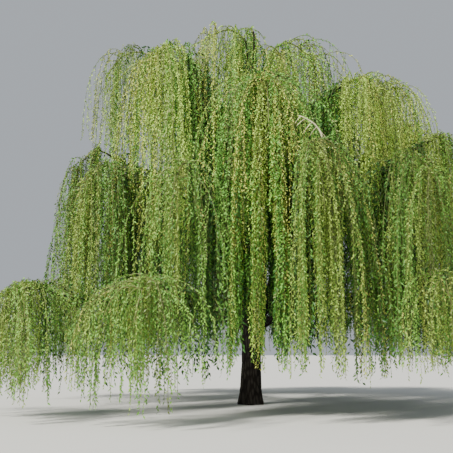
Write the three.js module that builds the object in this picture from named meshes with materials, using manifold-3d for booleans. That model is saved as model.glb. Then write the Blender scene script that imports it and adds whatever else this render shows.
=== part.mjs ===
// A mature weeping willow, rooted in the ground. Millimetres, +Z up, +X to the right seen from the front, -Y.
// The origin is the middle of the flat cut under the trunk, at ground level.
import * as THREE from 'three'
import { mergeVertices } from 'three/addons/utils/BufferGeometryUtils.js'
import Module from 'manifold-3d'

const wasm = await Module()
wasm.setup()

// Clearance between neighbouring pieces, and how far foliage stays away from limbs that it doesn't grow on.
const GAP = 0.3
const CLEAR_OF_LIMBS = 25

// The trunk: its radius by height, its lean, and the buttresses of its root flare.
const TRUNK = {
  profile: [[0, 360], [170, 332], [480, 306], [950, 285], [1500, 278], [2000, 310], [2420, 400], [2700, 405],
    [2900, 220]],
  lean: new THREE.Vector2(75, 30),
  buttresses: 5,
  buttressDepth: 0.13,
  flareHeight: 1000,
  sides: 20,
}

// The crown stands a little to the right of the trunk, and its front is lower than its back.
const CROWN_CENTRE = new THREE.Vector2(330, 100)

// Four rings of foliage masses round that centre. Each mass hangs from its own bough in its own sector of a
// ring. inner and outer bound the ring, crest is the height of a mass at the back of the crown and dip how much
// lower it is at the front, fall is how far the stem droops from there, and hem is where the hanging twigs end,
// with frontHem for the front. A sector is the azimuth of its middle and half its angle, in degrees.
const RINGS = {
  top: {
    inner: 260, outer: 2650, crest: 12060, dip: 1150, fall: 1350, hem: 7900, frontHem: 7600,
    tip: 26, leaders: 5, sprays: 8,
    sectors: [[20, 45], [110, 45], [200, 45], [290, 45]],
  },
  shoulder: {
    inner: 2740, outer: 4640, crest: 10500, dip: 1450, fall: 1800, hem: 4600, frontHem: 4300,
    tip: 28, leaders: 4, sprays: 7,
    sectors: [
      [13, 25.7], [64.4, 25.7], [115.9, 25.7], [167.3, 25.7], [218.7, 25.7], [270.1, 25.7], [321.6, 25.7],
    ],
  },
  side: {
    inner: 4730, outer: 6180, crest: 8100, dip: 1950, fall: 2100, hem: 1750, frontHem: 1150,
    tip: 30, leaders: 4, sprays: 7,
    sectors: [
      [23, 20], [63, 20], [103, 20], [143, 20], [181, 18], [215, 16], [247, 16], [281, 16], [315, 17], [349, 17],
    ],
  },
  skirt: {
    inner: 6270, outer: 7450, crest: 4000, dip: 700, fall: 1050, hem: 1650, frontHem: 300,
    tip: 26, leaders: 5, sprays: 7,
    sectors: [[30, 22], [76, 22], [122, 22], [160, 14], [212, 20], [246.5, 12], [304, 15], [345, 20]],
  },
}

// What single masses do otherwise: raise lifts the crest, out moves the mass outwards, fall and hem replace the
// droop of the stem and the height of the hem, and fill is the share of the sector's width that is covered.
const OWN_SHAPE = {
  top_1: { raise: -500, out: 50 },
  top_2: { raise: -150 },
  top_4: { raise: -550 },
  shoulder_1: { raise: 350, out: 330, fall: 1250 },
  shoulder_4: { raise: 1200, out: 820, fall: 1000, hem: 7400, fill: 0.8 },
  shoulder_5: { raise: 900 },
  shoulder_6: { raise: -100, hem: 1900 },
  side_1: { raise: 1600, out: 320, fall: 1700 },
  side_2: { raise: 250 },
  side_4: { raise: 250 },
  side_5: { raise: 800, out: -100, fall: 2200 },
  side_6: { fill: 0.85 },
  side_7: { fill: 0.72 },
  side_8: { raise: 500, fill: 0.62, hem: 1050 },
  side_9: { raise: 150, out: 100 },
  side_10: { raise: 1000, out: 320, fall: 1900 },
  skirt_5: { raise: -100, out: 400, hem: 200 },
  skirt_6: { raise: -150, hem: 230 },
  skirt_7: { raise: 100, out: -300, hem: 950 },
  skirt_8: { raise: 150, hem: 900 },
}
const FILL = 0.92
const SEED = 20

// The habit of every mass: where its bough ends and its stem runs, as shares of the ring's depth and of the fall.
const STEM = {
  tipOut: 0.1, tipDown: 0.16, arch: 0.42, turnOut: 0.72, turnDown: 0.45, endOut: 0.84,
  end: 12, sides: 4, steps: 3,
}

// How its leading twigs spring from the stem, arch over and hang. The outside row and the inside row reach out
// by shares of the depth, and they spring further in. rise and kick are in mm, and the rest are shares.
const HANG = {
  outside: [0.76, 0.97], inside: [0.3, 0.64], stagger: 0.3,
  spring: 0.3, springSpread: 0.12, springRange: [0.05, 0.8],
  rise: [300, 520], arch: 0.45, droop: 0.1, sag: 0.24,
  hemSpread: 0.26, outsideHem: 0.6, insideHem: 1.5, kick: 60,
}

// Boughs: root radius, facets, how steeply they leave, how long and how steep the line into the tip is, and
// where they leave what carries them, as a share of its length or as a height.
const BOUGHS = {
  top: { root: 172, sides: 8, steps: 6, steepness: 0.62, pull: 0.1, rise: 1.2 },
  shoulder: { root: 78, sides: 5, steps: 4, steepness: 0.6, pull: 0.34, rise: 0.5, first: 0.4, next: 0.075 },
  side: { root: 88, sides: 5, steps: 4, steepness: 0.5, pull: 0.34, rise: 0.5, first: 0.13, next: 0.05 },
  skirt: {
    root: 90, sides: 5, steps: 4, steepness: 0.36, pull: 0.34, rise: 0.35, first: 2120, next: 110, offset: 150,
  },
}
const BOUGH_ARCH = 0.36
const FORK = { height: 2350, offset: 175 }

// Leading twigs are three-sided, and leaf-shaped blades on them each stand for a spray of leaves. A blade tilts
// by tilt off the vertical, starts past a share of the twig's length, and may hang below the hem by so much.
const TWIG = { root: 16, tip: 8, sides: 3, steps: 4 }
const SPRAY = {
  length: 1350, width: 420, thickness: 28, shoulder: 0.16,
  from: 0.34, along: 0.6, tilt: [0.16, 0.36], size: [0.8, 1.1], below: 250,
}
const CLEAR_OF_GROUND = 60

// The dead limb that stands bare over one mass at the front: its line from its seat on that mass's bough, and
// the broken prongs along it, each as a share of the line and its three steps to the tip.
const DEAD_LIMB = {
  carrier: 'side_8',
  seat: 0.93,
  root: 32,
  tip: 17,
  sides: 6,
  steps: 5,
  line: [[600, -350, 50], [480, -350, 720], [-130, 50, 1050]],
  prongs: [[0.5, 240, -90, -210], [0.62, 230, -60, -330], [0.7, -190, -60, -260], [0.8, -230, -70, -300],
    [0.9, -240, -60, -210], [0.97, -150, -40, -190]],
  prong: { root: 13, tip: 7, sides: 3, steps: 2, lift: 40 },
}

// A small seeded generator, so that every tree is the same tree.
function seeded(seed) {
  let state = seed >>> 0
  return () => {
    state = (state + 0x6d2b79f5) >>> 0
    let t = state
    t = Math.imul(t ^ (t >>> 15), t | 1)
    t ^= t + Math.imul(t ^ (t >>> 7), t | 61)
    return ((t ^ (t >>> 14)) >>> 0) / 4294967296
  }
}

const mix = (a, b, t) => a + (b - a) * t

// A limb's line, whose rings are closer together where it bends.
class LimbLine extends THREE.CubicBezierCurve3 {
  getUtoTmapping(share) {
    return share
  }
}
const taper = (root, tip) => (t) => mix(root, tip, Math.pow(t, 0.8))

// A closed three.js geometry as a solid that booleans can take.
function solidOf(geometry) {
  const bare = geometry.clone()
  bare.deleteAttribute('normal')
  bare.deleteAttribute('uv')
  const merged = mergeVertices(bare, 1e-3)
  return new wasm.Manifold(new wasm.Mesh({
    numProp: 3,
    vertProperties: new Float32Array(merged.attributes.position.array),
    triVerts: new Uint32Array(merged.index.array),
  }))
}

function geometryOf(solid) {
  const mesh = solid.getMesh()
  const geometry = new THREE.BufferGeometry()
  geometry.setAttribute('position', new THREE.BufferAttribute(mesh.vertProperties, 3))
  geometry.setIndex(new THREE.BufferAttribute(mesh.triVerts, 1))
  return geometry
}

// A cylinder bent along a curve, with the radius that radiusAt gives at each share of its length.
function limbSolid(curve, radiusAt, sides, steps) {
  const geometry = new THREE.CylinderGeometry(1, 1, 1, sides, steps)
  const frames = curve.computeFrenetFrames(steps, false)
  const position = geometry.getAttribute('position')
  for (let i = 0; i < position.count; i++) {
    const ring = Math.round((position.getY(i) + 0.5) * steps)
    const radius = radiusAt(ring / steps)
    const point = curve.getPointAt(ring / steps)
      .addScaledVector(frames.binormals[ring], position.getX(i) * radius)
      .addScaledVector(frames.normals[ring], position.getZ(i) * radius)
    position.setXYZ(i, point.x, point.y, point.z)
  }
  return solidOf(geometry)
}

// The middle of a faceted limb at a share of its length.
function middleAt(curve, steps, share) {
  const ring = Math.min(Math.floor(share * steps), steps - 1)
  return curve.getPointAt(ring / steps).lerp(curve.getPointAt((ring + 1) / steps), share * steps - ring)
}

function trunkAxis(height) {
  const share = height / TRUNK.profile.at(-1)[0]
  return new THREE.Vector3(TRUNK.lean.x * share ** 1.5, TRUNK.lean.y * share ** 1.5, height)
}

// The trunk is a cylinder whose rings take the profile's radii, with buttresses that fade out above the flare.
function trunkSolid(grown) {
  const steps = TRUNK.profile.length - 1
  const geometry = new THREE.CylinderGeometry(1, 1, 1, TRUNK.sides, steps)
  const position = geometry.getAttribute('position')
  for (let i = 0; i < position.count; i++) {
    const [height, profileRadius] = TRUNK.profile[Math.round((position.getY(i) + 0.5) * steps)]
    const angle = Math.atan2(position.getX(i), position.getZ(i))
    const onRim = Math.hypot(position.getX(i), position.getZ(i))
    const fade = Math.max(0, 1 - height / TRUNK.flareHeight) ** 2
    const flute = 1 + TRUNK.buttressDepth * fade * Math.cos(TRUNK.buttresses * angle + 0.6)
    const radius = onRim * (profileRadius * flute + grown)
    const axis = trunkAxis(height)
    const raised = height > 0 ? height + grown : height
    position.setXYZ(i, axis.x + radius * Math.sin(angle), axis.y - radius * Math.cos(angle), raised)
  }
  return solidOf(geometry)
}

// Where each mass stands, from its ring's sizes, its sector and what is its own.
function massPlan(ring, number) {
  const size = RINGS[ring]
  const [azimuthDegrees, halfDegrees] = size.sectors[number]
  const name = `${ring}_${number + 1}`
  const own = OWN_SHAPE[name] ?? {}
  const random = seeded(SEED * 1000 + Object.keys(RINGS).indexOf(ring) * 100 + number)
  const azimuth = THREE.MathUtils.degToRad(azimuthDegrees)
  const along = new THREE.Vector3(Math.cos(azimuth), Math.sin(azimuth), 0)
  const frontness = (1 - Math.sin(azimuth)) / 2
  const crestJitter = 240 * (random() - 0.5)
  const hemJitter = 250 * (random() - 0.5)
  return {
    name,
    ring,
    random,
    azimuth,
    along,
    across: new THREE.Vector3(-along.y, along.x, 0),
    spread: Math.tan(THREE.MathUtils.degToRad(halfDegrees)),
    inner: size.inner + (own.out ?? 0),
    outer: size.outer + (own.out ?? 0),
    fill: own.fill ?? FILL,
    crest: size.crest - size.dip * frontness + (own.raise ?? 0) + crestJitter,
    fall: own.fall ?? size.fall,
    hem: own.hem ?? mix(size.hem, size.frontHem, frontness) + hemJitter,
  }
}

// A point of the crown: out from the crown's centre, sideways, and up.
function placed(plan, out, sideways, height) {
  return new THREE.Vector3(CROWN_CENTRE.x, CROWN_CENTRE.y, height)
    .addScaledVector(plan.along, out)
    .addScaledVector(plan.across, sideways)
}

const depthOf = (plan) => plan.outer - plan.inner
const outAt = (plan, share, height) => placed(plan, plan.inner + share * depthOf(plan), 0, height)
const tipDirection = (plan) => plan.along.clone().setZ(BOUGHS[plan.ring].rise).normalize()
const boughTip = (plan) => outAt(plan, STEM.tipOut, plan.crest - STEM.tipDown * plan.fall)

// The stem goes on from the bough's tip, over the crest and down the outside of the crown.
function stemOf(plan) {
  const start = boughTip(plan).addScaledVector(tipDirection(plan), GAP)
  return new LimbLine(
    start,
    start.clone().addScaledVector(tipDirection(plan), STEM.arch * depthOf(plan)),
    outAt(plan, STEM.turnOut, plan.crest - STEM.turnDown * plan.fall),
    outAt(plan, STEM.endOut, plan.crest - plan.fall),
  )
}

// One leading twig: from the stem up and sideways, over, and then straight down to the hem.
// The twigs take turns between the outside of the crown and its inside.
function leaderOf(plan, stem, number, count) {
  const { random } = plan
  const outside = number % 2 === 0
  const share = -1 + (2 * (number + 0.5)) / count + HANG.stagger * (random() - 0.5)
  const reach = mix(...(outside ? HANG.outside : HANG.inside), random())
  const out = plan.inner + reach * depthOf(plan)
  const sideways = share * plan.fill * (out * plan.spread - SPRAY.width)
  const spring = THREE.MathUtils.clamp(reach - HANG.spring - HANG.springSpread * random(), ...HANG.springRange)
  const root = middleAt(stem, STEM.steps, spring)
  const top = root.z + mix(...HANG.rise, random())
  const shoulder = root.z - HANG.droop * plan.fall * reach - HANG.sag * Math.abs(sideways)
  const spread = HANG.hemSpread * random() * (outside ? HANG.outsideHem : HANG.insideHem)
  const bend = placed(plan, out, sideways, shoulder)
  const tip = placed(plan, out + HANG.kick * random(), sideways, mix(plan.hem, shoulder, spread))
  return new LimbLine(root, root.clone().lerp(bend, HANG.arch).setZ(top), bend, tip)
}

// A spray of leaves as one leaf-shaped blade, with its root at the origin and its tip at +Y.
const sprayShape = new THREE.OctahedronGeometry(1)
sprayShape.scale(SPRAY.width / 2, SPRAY.length / 2, SPRAY.thickness / 2)
for (let i = 0, corners = sprayShape.getAttribute('position'); i < corners.count; i++) {
  const onRim = Math.abs(corners.getY(i)) < 1
  corners.setY(i, onRim ? SPRAY.shoulder * SPRAY.length : corners.getY(i) + SPRAY.length / 2)
}

function sprayOf(plan, root) {
  const { random } = plan
  const lowest = Math.max(plan.hem - SPRAY.below, 2 * CLEAR_OF_GROUND)
  const size = Math.min(1, (root.z - lowest) / SPRAY.length) * mix(...SPRAY.size, random())
  const [tilt, roll, turnRound] = [mix(...SPRAY.tilt, random()), Math.PI * random(), 2 * Math.PI * random()]
  const turn = new THREE.Quaternion().setFromEuler(new THREE.Euler(tilt - Math.PI / 2, roll, turnRound, 'ZXY'))
  const place = new THREE.Matrix4().compose(root, turn, new THREE.Vector3(size, size, size))
  return solidOf(sprayShape.clone().applyMatrix4(place))
}

// The space of a mass is its sector of the ring, down to just above the ground.
function insideMass(plan, piece) {
  const corners = piece.getMesh().vertProperties
  for (let i = 0; i < corners.length; i += 3) {
    const x = corners[i] - CROWN_CENTRE.x
    const y = corners[i + 1] - CROWN_CENTRE.y
    const out = x * plan.along.x + y * plan.along.y
    const sideways = Math.abs(x * plan.across.x + y * plan.across.y)
    if (sideways > plan.spread * out - GAP || corners[i + 2] < CLEAR_OF_GROUND) return false
  }
  return true
}

// Fusing can seal a small pocket, or cut off a scrap: only the largest shell is kept.
const largestOf = (solid) => solid.decompose().reduce(
  (best, part) => (part.volume() > best.volume() ? part : best),
)

const meets = (a, b) => {
  const p = a.boundingBox()
  const q = b.boundingBox()
  const near = [0, 1, 2].every((axis) => p.min[axis] < q.max[axis] && q.min[axis] < p.max[axis])
  return near && !a.intersect(b).isEmpty()
}

// A mass: its stem, its leading twigs and the sprays on them, all fused.
function massSolid(plan, inTheWay) {
  const { leaders, sprays, tip } = RINGS[plan.ring]
  const stem = stemOf(plan)
  const pieces = [limbSolid(stem, taper(tip, STEM.end), STEM.sides, STEM.steps)]
  const twigs = []
  for (let number = 0; number < leaders; number++) {
    const curve = leaderOf(plan, stem, number, leaders)
    const twig = limbSolid(curve, taper(TWIG.root, TWIG.tip), TWIG.sides, TWIG.steps)
    if (insideMass(plan, twig) && !inTheWay.some((solid) => meets(twig, solid))) {
      twigs.push(curve)
      pieces.push(twig)
    }
  }
  const rows = Math.ceil(sprays / twigs.length)
  for (let number = 0; number < sprays; number++) {
    const row = Math.floor(number / twigs.length)
    const share = SPRAY.from + (SPRAY.along * (row + mix(0.2, 0.8, plan.random()))) / rows
    const root = middleAt(twigs[number % twigs.length], TWIG.steps, share)
    const spray = sprayOf(plan, root)
    if (insideMass(plan, spray) && !inTheWay.some((solid) => meets(spray, solid))) pieces.push(spray)
  }
  return largestOf(wasm.Manifold.union(pieces))
}

// A bough's line: it leaves its parent steeply, and arches over to its tip.
function boughCurve(root, plan) {
  const tip = boughTip(plan)
  const span = root.distanceTo(tip)
  const { steepness, pull } = BOUGHS[plan.ring]
  const away = plan.along.clone().multiplyScalar(1 - steepness).setZ(steepness).normalize()
  return new LimbLine(
    root,
    root.clone().addScaledVector(away, BOUGH_ARCH * span),
    tip.clone().addScaledVector(tipDirection(plan), -pull * span),
    tip,
  )
}

const group = new THREE.Group()
const bark = new THREE.MeshStandardMaterial({ color: 0x57493b, roughness: 0.95, metalness: 0 })
const greyWood = new THREE.MeshStandardMaterial({ color: 0xb4a58c, roughness: 0.9, metalness: 0 })
const leafGreen = new THREE.MeshStandardMaterial({ color: 0x8a9c3c, roughness: 0.7, metalness: 0 })

function addNode(name, solid, material) {
  const mesh = new THREE.Mesh(geometryOf(solid), material)
  mesh.name = name
  group.add(mesh)
}

addNode('trunk', trunkSolid(0), bark)

const plans = Object.fromEntries(Object.entries(RINGS).map(
  ([ring, size]) => [ring, size.sectors.map((sector, number) => massPlan(ring, number))],
))

// Limbs that are in place, grown by the clearance that cuts the next ones, and by that which foliage keeps.
const grownLimbs = [trunkSolid(GAP)]
const guards = [trunkSolid(CLEAR_OF_LIMBS)]
const boughs = {}

// A bough is cut clear of what carries it, and of the boughs that leave close beside it.
function addBough(plan, root) {
  const { root: rootRadius, sides, steps } = BOUGHS[plan.ring]
  const curve = boughCurve(root, plan)
  const radiusAt = taper(rootRadius, RINGS[plan.ring].tip)
  const grown = (by) => limbSolid(curve, (t) => radiusAt(t) + by, sides, steps)
  const cut = grownLimbs.reduce((left, limb) => left.subtract(limb), grown(0))
  addNode(`bough_${plan.name}`, largestOf(cut), bark)
  grownLimbs.push(grown(1.4 * GAP))
  guards.push(grown(CLEAR_OF_LIMBS))
  boughs[plan.name] = { plan, curve, radiusAt }
}

// The leading boughs go up from the fork to the top of the crown.
for (const plan of plans.top) {
  addBough(plan, trunkAxis(FORK.height).addScaledVector(plan.along, FORK.offset))
}

const turnBetween = (a, b) => Math.abs(Math.atan2(Math.sin(a - b), Math.cos(a - b)))
const nearestLeading = (plan) => plans.top.reduce(
  (best, top) => (turnBetween(top.azimuth, plan.azimuth) < turnBetween(best.azimuth, plan.azimuth) ? top : best),
)

// The other boughs leave the leading ones one above the other, and the low ones leave the trunk below its fork.
for (const ring of ['side', 'shoulder']) {
  const taken = {}
  for (const plan of plans[ring]) {
    const parent = nearestLeading(plan).name
    const turn = taken[parent] ?? 0
    taken[parent] = turn + 1
    const { first, next } = BOUGHS[ring]
    addBough(plan, middleAt(boughs[parent].curve, BOUGHS.top.steps, first + next * turn))
  }
}
plans.skirt.forEach((plan, number) => {
  const { first, next, offset } = BOUGHS.skirt
  addBough(plan, trunkAxis(first + next * (number % 3)).addScaledVector(plan.along, offset))
})

// The dead limb sits 0.3 mm clear on its bough.
const carrier = boughs[DEAD_LIMB.carrier]
const seat = middleAt(carrier.curve, BOUGHS.side.steps, DEAD_LIMB.seat)
const deadLine = new LimbLine(
  seat, ...DEAD_LIMB.line.map((step) => seat.clone().add(new THREE.Vector3(...step))),
)
function deadLimbSolid(grown) {
  const { prong, sides, steps } = DEAD_LIMB
  const mainRadius = taper(DEAD_LIMB.root, DEAD_LIMB.tip)
  const main = limbSolid(deadLine, (t) => mainRadius(t) + grown, sides, steps)
  const prongs = DEAD_LIMB.prongs.map(([share, ...direction]) => {
    const root = middleAt(deadLine, steps, share)
    const tip = root.clone().add(new THREE.Vector3(...direction))
    const middle = root.clone().lerp(tip, 0.5)
    middle.z += prong.lift
    const curve = new THREE.QuadraticBezierCurve3(root, middle, tip)
    return limbSolid(curve, (t) => mix(prong.root, prong.tip, t) + grown, prong.sides, prong.steps)
  })
  return wasm.Manifold.union([main, ...prongs])
}
const deadLimb = grownLimbs.reduce((left, limb) => left.subtract(limb), deadLimbSolid(0))
addNode('dead_limb', largestOf(deadLimb), greyWood)
guards.push(deadLimbSolid(CLEAR_OF_LIMBS))

// Foliage keeps clear of every limb, and of the masses beside it.
const masses = []
for (const ring of Object.keys(RINGS)) {
  for (const plan of plans[ring]) {
    const mass = massSolid(plan, [...guards, ...masses])
    masses.push(mass)
    addNode(`foliage_${plan.name}`, mass, leafGreen)
  }
}

export default group
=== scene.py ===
# A mature weeping willow. Its bark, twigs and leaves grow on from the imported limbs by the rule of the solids.
# Metres, +Z up, +X to the right seen from the front, which is -Y. The trunk stands on the origin.
import math
from types import SimpleNamespace

import bmesh
import bpy
import numpy as np
from bpy.props import FloatProperty, FloatVectorProperty, IntProperty, PointerProperty
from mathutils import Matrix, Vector, noise


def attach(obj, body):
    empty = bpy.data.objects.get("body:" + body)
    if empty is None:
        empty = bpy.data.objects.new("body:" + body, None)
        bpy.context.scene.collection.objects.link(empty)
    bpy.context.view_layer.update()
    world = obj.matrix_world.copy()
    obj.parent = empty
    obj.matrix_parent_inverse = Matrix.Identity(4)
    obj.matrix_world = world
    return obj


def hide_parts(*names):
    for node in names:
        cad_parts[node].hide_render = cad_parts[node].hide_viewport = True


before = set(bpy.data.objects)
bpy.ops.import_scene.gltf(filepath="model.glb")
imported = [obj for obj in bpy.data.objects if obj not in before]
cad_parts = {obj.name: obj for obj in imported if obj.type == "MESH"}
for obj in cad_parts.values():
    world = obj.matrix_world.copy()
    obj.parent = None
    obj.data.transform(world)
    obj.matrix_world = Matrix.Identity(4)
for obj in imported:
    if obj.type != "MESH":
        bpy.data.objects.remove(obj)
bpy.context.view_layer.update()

bl_info = {
    "name": "Weeping willow",
    "version": (1, 0, 0),
    "blender": (4, 5, 0),
    "location": "3D View > Sidebar > Willow",
    "description": "Grows the bark, twigs and leaves of a mature weeping willow",
    "category": "Add Mesh",
}

# The trunk: its radius by height, its lean, and the buttresses of its root flare.
TRUNK_PROFILE = [
    (-0.2, 0.38), (0, 0.36), (0.17, 0.332), (0.48, 0.306), (0.95, 0.285), (1.5, 0.278), (2.0, 0.31),
    (2.42, 0.4), (2.7, 0.405), (2.9, 0.22),
]
TRUNK_LEAN = np.array((0.075, 0.03))
TRUNK_TOP = 2.9
TRUNK_SIDES = 96
TRUNK_LEVEL = 0.06
BUTTRESSES = 5
BUTTRESS_DEPTH = 0.13
BUTTRESS_TURN = 0.6
FLARE_HEIGHT = 1.0

CROWN_CENTRE = np.array((0.33, 0.1, 0.0))

# Four rings of foliage masses round that centre. inner and outer bound a ring, crest is the height of a mass
# at the back and dip how much lower it is at the front, fall is how far its stem droops, and hem is where its
# twigs end, with front_hem for the front. tip is the radius of its bough's end, and leaders how many leading
# twigs its solid has. A sector is the azimuth of its middle and half its angle, in degrees.
RINGS = {
    "top": {
        "inner": 0.26, "outer": 2.65, "crest": 12.06, "dip": 1.15, "fall": 1.35, "hem": 7.9, "front_hem": 7.6,
        "tip": 0.026, "leaders": 5,
        "sectors": [(20, 45), (110, 45), (200, 45), (290, 45)],
    },
    "shoulder": {
        "inner": 2.74, "outer": 4.64, "crest": 10.5, "dip": 1.45, "fall": 1.8, "hem": 4.6, "front_hem": 4.3,
        "tip": 0.028, "leaders": 4,
        "sectors": [(13, 25.7), (64.4, 25.7), (115.9, 25.7), (167.3, 25.7), (218.7, 25.7), (270.1, 25.7),
                    (321.6, 25.7)],
    },
    "side": {
        "inner": 4.73, "outer": 6.18, "crest": 8.1, "dip": 1.95, "fall": 2.1, "hem": 1.75, "front_hem": 1.15,
        "tip": 0.03, "leaders": 4,
        "sectors": [(23, 20), (63, 20), (103, 20), (143, 20), (181, 18), (215, 16), (247, 16), (281, 16),
                    (315, 17), (349, 17)],
    },
    "skirt": {
        "inner": 6.27, "outer": 7.45, "crest": 4.0, "dip": 0.7, "fall": 1.05, "hem": 1.65, "front_hem": 0.3,
        "tip": 0.026, "leaders": 5,
        "sectors": [(30, 22), (76, 22), (122, 22), (160, 14), (212, 20), (246.5, 12), (304, 15), (345, 20)],
    },
}

# What single masses do otherwise.
OWN_SHAPE = {
    "top_1": {"raise": -0.5, "out": 0.05},
    "top_2": {"raise": -0.15},
    "top_4": {"raise": -0.55},
    "shoulder_1": {"raise": 0.35, "out": 0.33, "fall": 1.25},
    "shoulder_4": {"raise": 1.2, "out": 0.82, "fall": 1.0, "hem": 7.4, "fill": 0.8},
    "shoulder_5": {"raise": 0.9},
    "shoulder_6": {"raise": -0.1, "hem": 1.9},
    "side_1": {"raise": 1.6, "out": 0.32, "fall": 1.7},
    "side_2": {"raise": 0.25},
    "side_4": {"raise": 0.25},
    "side_5": {"raise": 0.8, "out": -0.1, "fall": 2.2},
    "side_6": {"fill": 0.85},
    "side_7": {"fill": 0.72},
    "side_8": {"raise": 0.5, "fill": 0.62, "hem": 1.05},
    "side_9": {"raise": 0.15, "out": 0.1},
    "side_10": {"raise": 1.0, "out": 0.32, "fall": 1.9},
    "skirt_5": {"raise": -0.1, "out": 0.4, "hem": 0.2},
    "skirt_6": {"raise": -0.15, "hem": 0.23},
    "skirt_7": {"raise": 0.1, "out": -0.3, "hem": 0.95},
    "skirt_8": {"raise": 0.15, "hem": 0.9},
}
FILL = 0.92
SEED = 20

# Where a bough ends and its stem runs on, as shares of the ring's depth and of the fall.
STEM = {"tip_out": 0.1, "tip_down": 0.16, "arch": 0.42, "turn_out": 0.72, "turn_down": 0.45, "end_out": 0.84}
STEM_RADII = (0.027, 0.012)
STEM_POINTS = 14
LEADER_POINTS = 11

# How the leading twigs spring from the stem, arch over and hang.
HANG = {
    "outside": (0.76, 0.97), "inside": (0.3, 0.64), "stagger": 0.3, "spring": 0.3, "spring_spread": 0.12,
    "spring_range": (0.05, 0.8), "rise": (0.3, 0.52), "arch": 0.45, "droop": 0.1, "sag": 0.24,
    "hem_spread": 0.26, "outside_hem": 0.6, "inside_hem": 1.5, "kick": 0.06,
    "fine_margin": 0.05, "least_room": 0.05, "rope": 0.62, "gather": 0.5, "recess_hem": 0.8,
    "fine_hem": {"top": 0.22, "shoulder": 0.22, "side": 0.3, "skirt": 0.8},
    "fine_arch": (0.25, 0.65), "least_hem": 0.22, "uneven": 0.3, "uneven_turn": 5,
    "tassel": {"top": 0.0, "shoulder": 0.12, "side": 0.35, "skirt": 0.7},
    "fine_sag": 0.08, "fine_rise": (0.04, 0.46),
    "bough_range": (0.62, 0.98),
    "recess": {"top": (0.0, 0.45), "shoulder": (-0.6, 0.2), "side": (-1.0, 0.1), "skirt": (-1.0, 0.1)},
}
# How much of its sector's width a mass's finer twigs cover, by ring and for single masses.
FINE_FILL = {
    "top": 1.15, "shoulder": 1.12, "side": 1.0, "skirt": 1.0,
    "shoulder_4": 0.84, "side_2": 1.25, "side_3": 1.25, "side_4": 1.15, "side_6": 0.95, "side_7": 0.92,
    "side_8": 0.5, "side_9": 1.3, "skirt_6": 1.3,
}
# More of them in one part of a mass: how many, between which shares of its half width and of its ring's
# depth, the tint they lean to, and how far below the others they reach.
PATCHES = {
    "top_1": [(9, (-0.9, -0.1), (0.5, 1.0), "olive", 0)],
    "shoulder_1": [(8, (-1.0, -0.4), (0.95, 1.2), "yellow", 0)],
    "shoulder_5": [(9, (0.5, 1.05), (0.3, 0.9), "yellow", 0)],
    "shoulder_6": [(30, (-0.7, 0.35), (0.45, 0.95), "green", 0.6)],
    "side_6": [(7, (0.3, 0.95), (0.3, 0.8), "green", 0), (7, (-0.1, 0.6), (-0.8, 0.1), "lime", 0)],
    "side_8": [(14, (0.62, 1.12), (0.1, 0.7), "green", 0)],
    "side_9": [(8, (-1.3, -0.85), (0.35, 0.8), "green", 0)],
    "side_10": [(9, (-0.8, 0.1), (-0.6, 0.5), "yellow", 0)],
    "skirt_5": [(14, (0.05, 1.0), (0.3, 0.97), "yellow", 0), (13, (-0.1, 0.9), (-1.2, 0.25), "lime", 0)],
    "skirt_6": [(9, (-1.3, -0.6), (0.3, 0.9), "yellow", 0)],
}
# Where the curtain of a mass parts and shows its hollow: how far sideways of its middle, half how wide, how
# much that place moves sideways with each metre further out, and above what height the curtain is closed.
# ALL_THE_WAY is higher than the masses with such partings.
ALL_THE_WAY = 9
PARTINGS = {
    "shoulder_6": [(-1.07, 0.12, 0, 5.0), (-0.03, 0.13, -0.06, 5.6)],
    "side_7": [(-1.08, 0.14, 0.55, ALL_THE_WAY), (0.465, 0.12, 0.475, ALL_THE_WAY),
               (1.16, 0.13, 0.445, ALL_THE_WAY)],
    "side_8": [(-0.42, 0.17, -0.31, ALL_THE_WAY), (0.42, 0.14, -0.36, ALL_THE_WAY)],
}
# The width of a spray at a leading twig, and how far sprays reach below it.
SPRAY_WIDTH = 0.42
SPRAY_BELOW = 0.25
# A leading twig of the solids and a finer one: their radii at the root and at the tip.
TWIG_RADII = (0.016, 0.006)
FINE_RADII = (0.01, 0.004)

# Hanging twigs: the points of one by shares of its length; then how long it is and how high it ends at least,
# how far above the hem some end, their sway, the share of the length at which they turn down, and their taper.
# They keep edge inside their sector, in room of at least narrowest, and from nearest out to beyond their ring.
# On the outer half of a line they rise outer_lift as much.
WHIP_SHARES = np.array((0, 0.06, 0.2, 0.58, 1.0))
WHIP = {"least": 0.3, "lowest": 0.3, "above_hem": 0.4, "sway": 0.035, "crest": 0.06, "taper": 0.4,
        "edge": 0.03, "beyond": 0.05, "nearest": 0.2, "narrowest": 0.02, "outer_lift": 0.3}
# How they hang from a leading twig, a bough and a stem: on which shares of it, how long, how far they first
# rise, how much wider they stand, how far above the hem they end, and the place in the mass that tints them.
# arch is the share of those on a leading twig that hang from its first part.
ON_LEADER = {"shares": (0.05, 0.5, 0.95), "arch": 0.42, "fewest": 4, "lengths": (0.5, 3.6),
             "lifts": (0.02, 0.16)}
ON_BOUGH = {"shares": (0.4, 0.99), "lengths": (0.25, 2.0), "lifts": (0.2, 0.6), "wider": 1.2,
            "above": HANG["recess_hem"], "depth": 0.2, "tint": "green"}
ON_STEM = {"shares": (0.05, 0.9), "lengths": (0.5, 2.6), "lifts": (0.02, 0.16), "wider": 1, "above": 0,
           "depth": 0.9, "tint": "yellow"}

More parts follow.
